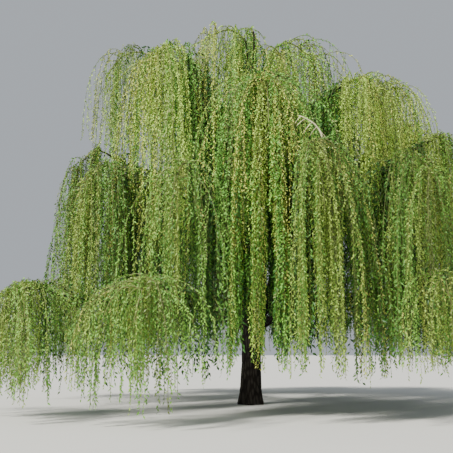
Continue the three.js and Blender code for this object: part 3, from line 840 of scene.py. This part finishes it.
def leaf_tree():
    """Leaves along lines: each leans off its twig and turns its face to the outside of the crown."""
    tree, start, end = new_tree("Willow leaves", [
        ("Leaf", "Object"), ("Length", "Float"), ("Width", "Float"), ("Spacing", "Float"),
        ("Least angle", "Float"), ("Largest angle", "Float"), ("Seed", "Int"), ("Material", "Material"),
    ])
    inputs = start.outputs
    seeds = [plain_math(tree, "ADD", inputs["Seed"], step) for step in range(4)]
    curve = add_node(tree, "GeometryNodeMeshToCurve", {"Mesh": inputs["Geometry"]}).outputs[0]
    places = add_node(tree, "GeometryNodeCurveToPoints",
                      {"Curve": curve, "Length": inputs["Spacing"]}, mode="LENGTH")
    tangent = places.outputs["Tangent"]
    aside = vector_math(tree, "CROSS_PRODUCT", tangent, random_vector(tree, seeds[0]))
    off_twig = vector_math(tree, "NORMALIZE", aside)
    angle = random_float(tree, inputs["Least angle"], inputs["Largest angle"], seeds[1])
    lean = vector_math(tree, "ADD",
                       vector_math(tree, "SCALE", tangent, scale=plain_math(tree, "COSINE", angle)),
                       vector_math(tree, "SCALE", off_twig, scale=plain_math(tree, "SINE", angle)))
    flutter = vector_math(tree, "MULTIPLY", random_vector(tree, seeds[2]), FLUTTER)
    facing = vector_math(tree, "ADD", point_value(tree, "outwards", "FLOAT_VECTOR"), flutter)
    facing = vector_math(tree, "ADD", facing, TO_SKY)
    hung = add_node(tree, "FunctionNodeAlignRotationToVector", {"Vector": lean}, axis="Y")
    turned = add_node(tree, "FunctionNodeAlignRotationToVector",
                      {"Rotation": hung.outputs[0], "Vector": facing}, axis="Z", pivot_axis="Y")
    size = random_float(tree, *LEAF_SIZES, seeds[3])
    shape = add_node(tree, "ShaderNodeCombineXYZ", {
        "X": inputs["Width"], "Y": inputs["Length"], "Z": inputs["Width"],
    }).outputs[0]
    leaf = add_node(tree, "GeometryNodeObjectInfo", {"Object": inputs["Leaf"]})
    leaves = add_node(tree, "GeometryNodeInstanceOnPoints", {
        "Points": places.outputs["Points"], "Instance": leaf.outputs["Geometry"],
        "Rotation": turned.outputs[0], "Scale": vector_math(tree, "SCALE", shape, scale=size),
    }).outputs[0]
    finish_tree(tree, end, leaves, inputs["Material"])
    return tree


def grown_mesh(piece):
    """The mesh that a piece's modifiers make, which are then taken off it."""
    depsgraph = bpy.context.evaluated_depsgraph_get()
    mesh = bpy.data.meshes.new_from_object(piece.evaluated_get(depsgraph), depsgraph=depsgraph)
    piece.modifiers.clear()
    return mesh


def run_tree(name, mesh, tree, values):
    """Runs a tree on a mesh and returns the result as a plain piece."""
    piece = add_object(name, mesh)
    modifier = piece.modifiers.new("Grow", "NODES")
    modifier.node_group = tree
    for item in tree.interface.items_tree:
        if item.in_out == "INPUT" and item.name in values:
            modifier[item.identifier] = values[item.name]
    grown = grown_mesh(piece)
    grown.materials.clear()
    grown.materials.append(values["Material"])
    piece.data = grown
    grown.name = name
    return piece


def new_material(name):
    material = bpy.data.materials.new(name)
    material.use_nodes = True
    return material, material.node_tree, material.node_tree.nodes["Principled BSDF"]


def leaf_material(name, colour):
    """A leaf: one plain tint, with a fine grain in its gloss."""
    material, tree, shader = new_material(f"leaf_{name}")
    shader.inputs["Base Color"].default_value = (*colour, 1)
    shader.inputs["Specular IOR Level"].default_value = 0.35
    gloss = range_of(tree, noise_of(tree, scale=60.0, detail=2.0), low=0.42, high=0.62)
    tree.links.new(gloss, shader.inputs["Roughness"])
    return material


def twig_material(colour):
    """Smooth young bark, yellower and darker by turns."""
    material, tree, shader = new_material("twig_bark")
    grain = noise_of(tree, scale=5.0, detail=3.0)
    bark = ramp_of(tree, grain, low=times(0.45, colour), high=colour, ends=(0.35, 0.65))
    tree.links.new(bark, shader.inputs["Base Color"])
    shader.inputs["Roughness"].default_value = 0.6
    return material


def bark_material(name, ridge, furrow):
    """Old bark: grey-brown ridges over dark furrows, which follow the relief of the mesh."""
    material, tree, shader = new_material(name)
    place = add_node(tree, "ShaderNodeTexCoord").outputs["Object"]
    stretched = add_node(tree, "ShaderNodeMapping", {"Vector": place, "Scale": (1, 1, 0.25)}).outputs[0]
    depth = add_node(tree, "ShaderNodeAttribute", attribute_name="furrow").outputs["Fac"]
    fine = noise_of(tree, scale=55.0, detail=6.0, vector=stretched, Roughness=0.65)
    broken = plain_math(tree, "MULTIPLY", plain_math(tree, "SUBTRACT", fine, 0.5), 0.9)
    level = plain_math(tree, "ADD", depth, broken)
    bark = ramp_of(tree, level, low=ridge, high=furrow, ends=(0.05, 0.75))
    weather = range_of(tree, noise_of(tree, scale=2.5, detail=3.0), low=0.65, high=1.3)
    tree.links.new(vector_math(tree, "SCALE", bark, scale=weather), shader.inputs["Base Color"])
    bump = add_node(tree, "ShaderNodeBump", {"Height": fine, "Strength": 0.7, "Distance": 0.012})
    tree.links.new(bump.outputs[0], shader.inputs["Normal"])
    shader.inputs["Roughness"].default_value = 0.92
    shader.inputs["Specular IOR Level"].default_value = 0.2
    return material


def bark_depth(point):
    """How deep a point of the bark lies in a furrow, from 0 on a ridge to 1. The furrows run along Z."""
    wander = noise.noise_vector(point * FURROWS["wander"]) * FURROWS["wander_far"]
    place = Vector([cells * at for cells, at in zip(FURROWS["cells"], point)]) + wander
    distances = noise.voronoi(place)[0]
    edge = min(1.0, (distances[1] - distances[0]) / FURROWS["edge"])
    return 1 - edge * edge * (3 - 2 * edge)


def close_rings(mesh, rings):
    """Faces between neighbouring rings of vertices, and over the first and the last."""
    for below, above in zip(rings, rings[1:]):
        for k in range(len(below)):
            after = (k + 1) % len(below)
            mesh.faces.new((below[k], below[after], above[after], above[k]))
    mesh.faces.new(rings[0][::-1])
    mesh.faces.new(rings[-1])


def angles_round(sides):
    return np.arange(sides) * 2 * math.pi / sides


def sweep(mesh, line, radii, sides, relief, seed):
    """Adds a closed round limb along a line to a bmesh, with furrows along it. Each vertex keeps how deep it
    lies in a furrow."""
    tangents = np.gradient(line, axis=0)
    tangents /= np.linalg.norm(tangents, axis=1)[:, None]
    normal = unit(np.cross(tangents[0], (0.3, 0.8, 0.5)))
    travelled, rings = 0.0, []
    depth_layer = mesh.verts.layers.float["furrow"]
    for i, (centre, tangent, radius) in enumerate(zip(line, tangents, radii)):
        normal = unit(normal - tangent * np.dot(normal, tangent))
        side = np.cross(tangent, normal)
        if i:
            travelled += np.linalg.norm(centre - line[i - 1])
        ring = []
        for angle in angles_round(sides):
            across, through = math.cos(angle), math.sin(angle)
            spot = Vector((radius * across, radius * through, travelled))
            depth = bark_depth(spot * LIMB_BARK["scale"] + Vector((seed * LIMB_BARK["start"], 0, 0)))
            wave = noise.noise(Vector((across, through, travelled * LIMB_BARK["swell_rate"] + seed)))
            sunk = min(relief, LIMB_BARK["most_relief"] * radius) * depth
            reach = radius * (1 + LIMB_BARK["swell"] * wave) - sunk
            vertex = mesh.verts.new(centre + (normal * across + side * through) * reach)
            vertex[depth_layer] = depth
            ring.append(vertex)
        rings.append(ring)
    close_rings(mesh, rings)


def new_limb_mesh():
    limb = bmesh.new()
    limb.verts.layers.float.new("furrow")
    return limb


def smooth_faces(mesh):
    for polygon in mesh.polygons:
        polygon.use_smooth = True


def to_piece(limb, name, material):
    mesh = bpy.data.meshes.new(name)
    limb.normal_update()
    limb.to_mesh(mesh)
    limb.free()
    mesh.materials.append(material)
    smooth_faces(mesh)
    return add_object(name, mesh)


def trunk_body():
    """The plain trunk as a closed shell."""
    body = new_limb_mesh()
    heights, radii = zip(*TRUNK_PROFILE)
    levels = np.concatenate((np.arange(heights[0], heights[-1], TRUNK_LEVEL), [heights[-1]]))
    rings = []
    for level in levels:
        profile = np.interp(level, heights, radii)
        fade = max(0.0, 1 - max(level, 0) / FLARE_HEIGHT) ** 2
        x, y, z = trunk_axis(level)
        ring = []
        for angle in angles_round(TRUNK_SIDES):
            flute = 1 + BUTTRESS_DEPTH * fade * math.cos(BUTTRESSES * angle + BUTTRESS_TURN)
            spot = (x + profile * flute * math.sin(angle), y - profile * flute * math.cos(angle), z)
            ring.append(body.verts.new(spot))
        rings.append(ring)
    close_rings(body, rings)
    return body


class WILLOW_OT_trunk(bpy.types.Operator):
    """Build the trunk with its root flare, its fork and the relief of its bark"""

    bl_idname = "willow.trunk"
    bl_label = "Trunk"

    def execute(self, context):
        sizes, colours = context.scene.willow_sizes, context.scene.willow_colours
        plans, curves = grow_limbs()
        body = trunk_body()
        steps, sides = STUB_MESH
        for ring, last in STUBS.items():
            for number, plan in enumerate(plans[ring]):
                shares = np.linspace(0, last, steps)
                radii = bough_radius(plan, shares)
                radii[-len(STUB_END):] *= STUB_END
                sweep(body, bezier(curves[plan.name], shares), radii, sides, 0, number)
        # The bark's near-black colours carry painted shade of the crown on the trunk.
        plain = to_piece(body, "trunk_bark", bark_material("trunk_bark", colours.ridge, colours.furrow))
        remesh = plain.modifiers.new("Join", "REMESH")
        remesh.mode = "VOXEL"
        remesh.voxel_size = sizes.bark_cell
        smooth = plain.modifiers.new("Soften", "SMOOTH")
        smooth.iterations = 10
        mesh = grown_mesh(plain)
        skin = bmesh.new()
        skin.from_mesh(mesh)
        skin.normal_update()
        layer = skin.verts.layers.float.get("furrow") or skin.verts.layers.float.new("furrow")
        for vertex in skin.verts:
            vertex[layer] = bark_depth(vertex.co)
            vertex.co += vertex.normal * sizes.relief * (FURROWS["level"] - vertex[layer])
        everything = skin.verts[:] + skin.edges[:] + skin.faces[:]
        cut = bmesh.ops.bisect_plane(skin, geom=everything, plane_co=(0, 0, 0), plane_no=(0, 0, 1),
                                     clear_inner=True)
        rim = [item for item in cut["geom_cut"] if isinstance(item, bmesh.types.BMEdge)]
        bmesh.ops.holes_fill(skin, edges=rim)
        skin.to_mesh(mesh)
        skin.free()
        mesh.name = "trunk_bark"
        smooth_faces(mesh)
        plain.data = mesh
        finish_piece(plain, ["trunk"])
        return {"FINISHED"}


def finish_piece(piece, nodes):
    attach(piece, "root")
    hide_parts(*nodes)


class WILLOW_OT_boughs(bpy.types.Operator):
    """Build the boughs with bark along them, each one that leaves another bough with a collar where it leaves
    """

    bl_idname = "willow.boughs"
    bl_label = "Boughs"

    def execute(self, context):
        sizes, colours = context.scene.willow_sizes, context.scene.willow_colours
        plans, curves = grow_limbs()
        limbs = new_limb_mesh()
        for ring, masses in plans.items():
            stub = STUBS.get(ring)
            start = 0 if stub is None else stub - STUB_OVERLAP
            steps, sides = BOUGH_MESH["top" if ring == "top" else "rest"]
            for plan in masses:
                shares = np.linspace(start, 1, steps)
                line = bezier(curves[plan.name], shares)
                radii = bough_radius(plan, shares)
                if stub is None:
                    run = np.linalg.norm(line - line[0], axis=1)
                    radii = radii * (1 + COLLAR_SWELL * np.exp(-run / COLLAR_LENGTH))
                sweep(limbs, line, radii, sides, LIMB_BARK["share"] * sizes.relief, plan.seed % 97)
        # The bark's near-black colours carry painted shade of the crown on the boughs.
        piece = to_piece(limbs, "boughs_bark", bark_material("bough_bark", colours.ridge, colours.furrow))
        finish_piece(piece, [f"bough_{plan.name}" for plan in all_of(plans)])
        return {"FINISHED"}


class WILLOW_OT_dead_limb(bpy.types.Operator):
    """Build the bare dead limb with its broken prongs"""

    bl_idname = "willow.dead_limb"
    bl_label = "Dead limb"

    def execute(self, context):
        colours = context.scene.willow_colours
        line = dead_line(grow_limbs()[1])
        limb = new_limb_mesh()
        steps, sides = DEAD_LIMB["mesh"]
        shares = np.linspace(0, 1, steps)
        radii = taper(DEAD_LIMB["root"], DEAD_LIMB["tip"], shares)
        sweep(limb, bezier(line, shares), radii, sides, DEAD_LIMB["relief"], 3)
        steps, sides = DEAD_LIMB["prong_mesh"]
        for number, (share, *direction) in enumerate(DEAD_LIMB["prongs"]):
            root = bezier(line, share)
            tip = root + np.array(direction)
            middle = (root + tip) / 2 + np.array((0, 0, DEAD_LIMB["lift"]))
            t = np.linspace(0, 1, steps)[:, None]
            prong = root * (1 - t) ** 2 + middle * 2 * t * (1 - t) + tip * t**2
            radii = mix(DEAD_LIMB["prong_root"], DEAD_LIMB["prong_tip"], t[:, 0])
            sweep(limb, prong, radii, sides, DEAD_LIMB["prong_relief"], number + 11)
        furrow = times(DEAD_LIMB["tone"], colours.dead)
        piece = to_piece(limb, "dead_limb_wood", bark_material("dead_wood", colours.dead, furrow))
        finish_piece(piece, ["dead_limb"])
        return {"FINISHED"}


def foliage_nodes(rings):
    return [f"foliage_{ring}_{n + 1}" for ring in rings for n in range(len(RINGS[ring]["sectors"]))]


class WILLOW_OT_twigs(bpy.types.Operator):
    """Grow the stems, the leading twigs and the hanging twigs of every mass"""

    bl_idname = "willow.twigs"
    bl_label = "Twigs"

    def execute(self, context):
        sizes = context.scene.willow_sizes
        stems, leaders, whips = grow_crown(sizes)
        tree = twig_tree()
        material = twig_material(context.scene.willow_colours.twig)
        thin = (sizes.whip_radius, WHIP["taper"] * sizes.whip_radius)
        pieces = [("stems", stems, STEM_RADII, 7, RINGS), ("twigs_leading", leaders, TWIG_RADII, 3, RINGS)]
        for name, rings in (("upper", UPPER_RINGS), ("side", ("side",)), ("skirt", ("skirt",))):
            chosen = [whip for whip in whips if whip.ring in rings]
            pieces.append((f"twigs_hanging_{name}", chosen, thin, 3, rings))
        for name, lines, radii, sides, rings in pieces:
            values = {"Sides": sides, "Material": material}
            piece = run_tree(name, line_mesh(name, lines, radii), tree, values)
            finish_piece(piece, foliage_nodes(rings))
        return {"FINISHED"}


def leaf_blade(widest=0.4, fold=0.16):
    """One leaf of unit length and width: two faces, folded along its rib."""
    corners = [(0, 0, 0), (-0.5, widest, fold), (0, 1, 0), (0.5, widest, fold)]
    mesh = bpy.data.meshes.new("leaf_blade")
    mesh.from_pydata(corners, [], [(0, 2, 1), (0, 3, 2)])
    return add_object("leaf_blade", mesh)


class WILLOW_OT_leaves(bpy.types.Operator):
    """Grow the leaves along the leading and hanging twigs, in pieces of one tint each, the upper rings in paler
    copies of each tint that paint light on the top of the crown
    """

    bl_idname = "willow.leaves"
    bl_label = "Leaves"

    def execute(self, context):
        sizes, colours = context.scene.willow_sizes, context.scene.willow_colours
        leaders, whips = grow_crown(sizes)[1:]
        twigs = leaders + whips
        total = sum(length_of(twig.points) for twig in twigs)
        count = sizes.leaf_count
        tree = leaf_tree()
        blade = leaf_blade()
        for index, tint in enumerate(TINTS):
            # Upper and lower copies of each tint: the upper ones are made paler, painted light on the top of
            # the crown.
            for half, rings, lift in (("upper", UPPER_RINGS, sizes.painted_top_light), ("lower", LOWER_RINGS, 1)):
                name = f"leaves_{tint}_{half}"
                colour = [min(1, channel) for channel in times(lift, getattr(colours, tint))]
                chosen = [twig for twig in twigs if twig.tint == index and twig.ring in rings]
                larger = LARGER_LEAVES.get(tint, 1)
                piece = run_tree(name, line_mesh(name, chosen, FINE_RADII), tree, {
                    "Leaf": blade, "Length": larger * sizes.leaf_length, "Width": larger * sizes.leaf_width,
                    "Spacing": larger * total / count, "Least angle": sizes.leaf_least,
                    "Largest angle": sizes.leaf_most, "Seed": 10 * index,
                    "Material": leaf_material(f"{tint}_{half}", colour),
                })
                finish_piece(piece, foliage_nodes(rings))
        bpy.data.objects.remove(blade)
        return {"FINISHED"}


class WILLOW_OT_stage(bpy.types.Operator):
    """Set the floor, the soft light and the camera"""

    bl_idname = "willow.stage"
    bl_label = "Stage"

    def execute(self, context):
        scene = context.scene
        colours = scene.willow_colours
        mesh = bpy.data.meshes.new("floor")
        disc = bmesh.new()
        bmesh.ops.create_circle(disc, cap_ends=True, segments=96, radius=FLOOR_RADIUS)
        disc.to_mesh(mesh)
        disc.free()
        material, tree, shader = new_material("floor")
        grain = noise_of(tree, scale=0.4, detail=4.0)
        paint = ramp_of(tree, grain, low=times(0.96, colours.floor), high=colours.floor)
        tree.links.new(paint, shader.inputs["Base Color"])
        shader.inputs["Roughness"].default_value = 0.9
        mesh.materials.append(material)
        floor = add_object("floor", mesh)

        world = bpy.data.worlds.new("studio")
        world.use_nodes = True
        background = world.node_tree.nodes["Background"]
        background.inputs["Color"].default_value = SKY["colour"]
        background.inputs["Strength"].default_value = SKY["strength"]
        scene.world = world

        key = bpy.data.lights.new("key", "SUN")
        key.energy = SUN["strength"]
        key.color = SUN["colour"]
        key.angle = math.radians(SUN["width"])
        lamp = add_object("key", key)
        lamp.rotation_euler = Vector(SUN["shines_to"]).to_track_quat("-Z", "Y").to_euler()

        camera = add_object("camera", bpy.data.cameras.new("camera"))
        camera.location = CAMERA["place"]
        camera.rotation_euler = (math.radians(90 + CAMERA["looks_up"]), 0, 0)
        camera.data.sensor_width = CAMERA["sensor"]
        camera.data.lens = CAMERA["lens"]
        camera.data.clip_end = CAMERA["far"]
        scene.camera = camera
        return {"FINISHED"}


STEPS = ("trunk", "boughs", "dead_limb", "twigs", "leaves", "stage")


class WILLOW_PT_panel(bpy.types.Panel):
    """Sizes, colours and building steps of the willow"""

    bl_label = "Weeping willow"
    bl_idname = "WILLOW_PT_panel"
    bl_space_type = "VIEW_3D"
    bl_region_type = "UI"
    bl_category = "Willow"

    def draw(self, context):
        for group in (context.scene.willow_sizes, context.scene.willow_colours):
            box = self.layout.box()
            for key in group.bl_rna.properties.keys():
                if key not in ("rna_type", "name"):
                    box.prop(group, key)
        for step in STEPS:
            self.layout.operator(f"willow.{step}")


CLASSES = (
    WillowSizes, WillowColours, WILLOW_OT_trunk, WILLOW_OT_boughs, WILLOW_OT_dead_limb, WILLOW_OT_twigs,
    WILLOW_OT_leaves, WILLOW_OT_stage, WILLOW_PT_panel,
)


def register():
    for cls in CLASSES:
        bpy.utils.register_class(cls)
    bpy.types.Scene.willow_sizes = PointerProperty(type=WillowSizes)
    bpy.types.Scene.willow_colours = PointerProperty(type=WillowColours)


def unregister():
    del bpy.types.Scene.willow_colours
    del bpy.types.Scene.willow_sizes
    for cls in reversed(CLASSES):
        bpy.utils.unregister_class(cls)


def main():
    register()
    for step in STEPS:
        getattr(bpy.ops.willow, step)()


if __name__ == "__main__":
    main()
